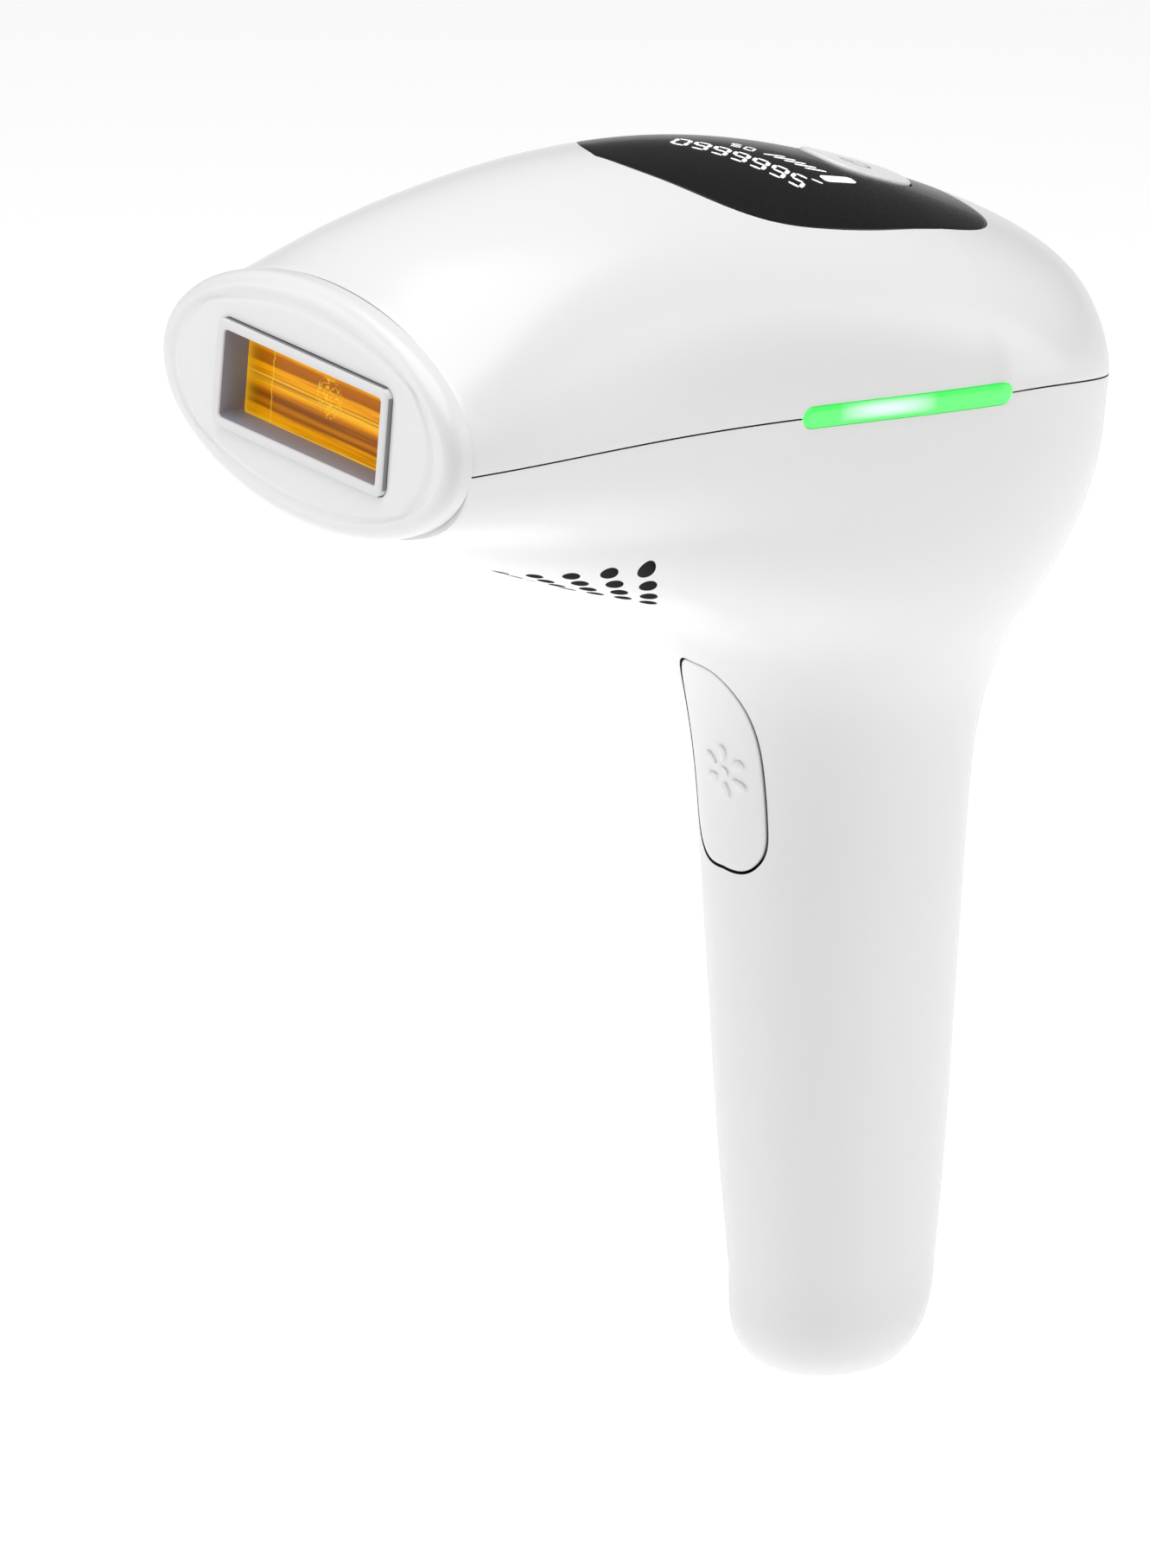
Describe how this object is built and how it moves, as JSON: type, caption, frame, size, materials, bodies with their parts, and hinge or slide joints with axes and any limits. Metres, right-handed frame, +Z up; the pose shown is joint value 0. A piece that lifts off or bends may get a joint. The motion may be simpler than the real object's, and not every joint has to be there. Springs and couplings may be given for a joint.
{
  "type": "ipl hair remover",
  "caption": "Handheld pulsed-light hair remover: pistol-shaped white housing with an oval pull-off treatment head, display, trigger, side lights and cooling fan.",
  "frame": {"origin": "on the flat foot at the handle's lower end, on the handle's axis", "axes": "+Z up along the handle, -Y the way the treatment head faces, +X to the device's left side"},
  "size_m": [0.0714, 0.1305, 0.1878],
  "materials": {
    "housing_white": "satin-gloss moulded",
    "cap_white": "satin moulded",
    "rim_grey": "fine satin",
    "lens_black": "polished",
    "button_white": "satin moulded",
    "light_guide_green": "lit from behind",
    "filter_amber": "polished filter glass",
    "quartz": "clear",
    "electrode_steel": "bright",
    "reflector_metal": "polished",
    "holder_grey": "heat-resistant moulded",
    "sink_aluminium": "extruded",
    "fan_black": "moulded",
    "board_green": "solder-masked laminate",
    "part_black": "moulded",
    "copper": "enamelled wire",
    "ferrite": "sintered",
    "can_sleeve": "shrink sleeve",
    "screw_steel": "zinc plated"
  },
  "bodies": {
    "housing": {"upper_cover": "housing_white", "lower_body": "housing_white", "display_lens": "lens_black", "left_light_bar": "light_guide_green", "right_light_bar": "light_guide_green", "front_bezel": "rim_grey", "filter_glass": "filter_amber", "reflector": "reflector_metal", "flash_tube": "quartz", "lamp_electrodes": "electrode_steel", "trigger_wire": "electrode_steel", "lamp_holder": "holder_grey", "front_screws": "screw_steel", "heat_sink": "sink_aluminium", "fan_frame": "fan_black", "main_board": "board_green", "power_board": "board_green", "display_module": "part_black", "power_switch": "part_black", "buzzer": "part_black", "transformer_core": "ferrite", "transformer_winding": "copper", "board_screws": "screw_steel", "left_led_board": "board_green", "right_led_board": "board_green", "trigger_board": "board_green", "trigger_switch": "part_black", "flash_capacitor": "can_sleeve", "power_socket": "part_black"},
    "treatment_head": {"nozzle_cap": "cap_white", "window_frame": "rim_grey"},
    "power_key": {"power_button": "button_white"},
    "trigger_key": {"flash_trigger": "housing_white"},
    "fan_wheel": {"fan_rotor": "fan_black"}
  },
  "joints": [
    {"name": "treatment_head_pull", "type": "slide", "parent": "housing", "child": "treatment_head", "axis": [0, -0.9957, 0.0924], "range_m": [0, 0.025]},
    {"name": "power_button_press", "type": "slide", "parent": "housing", "child": "power_key", "axis": [0, -0.0924, -0.9957], "range_m": [0, 0.0006], "stiffness_N_per_m": 2500},
    {"name": "flash_trigger_press", "type": "slide", "parent": "housing", "child": "trigger_key", "axis": [0, 1, 0], "range_m": [0, 0.001], "stiffness_N_per_m": 2000},
    {"name": "fan_spin", "type": "hinge", "parent": "housing", "child": "fan_wheel", "pos_m": [0, -0.05165, 0.1593], "axis": [0, -0.9957, 0.0924], "continuous": true}
  ]
}
